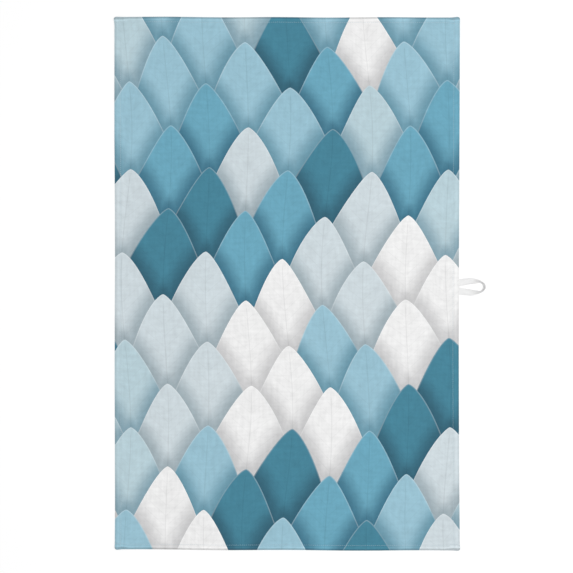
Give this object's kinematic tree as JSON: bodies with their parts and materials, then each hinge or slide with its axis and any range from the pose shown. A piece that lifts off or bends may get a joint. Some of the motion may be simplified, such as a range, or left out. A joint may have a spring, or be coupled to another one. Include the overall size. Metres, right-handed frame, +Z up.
{
  "type": "tea towel",
  "caption": "Printed cotton tea towel, laid flat and face up, with double-turned hems all round and a tape hanging loop on one long side.",
  "frame": {"origin": "middle of the panel, on its flat underside, which is on the surface it lies on", "axes": "+X across the towel towards the side with the loop, +Y along the towel, +Z up out of the printed face"},
  "size_m": [0.5168, 0.7432, 0.0099],
  "materials": {
    "printed_cotton": "plain-weave cotton, printed on the upper face in deep, mid and pale blues, greys and white, white on the reverse",
    "cotton_tape": "white herringbone cotton tape",
    "sewing_thread": "pale blue-grey polyester-cotton thread, lockstitched"
  },
  "bodies": {
    "root": {"towel_cloth": "printed_cotton", "hanging_loop": "cotton_tape"}
  },
  "joints": []
}
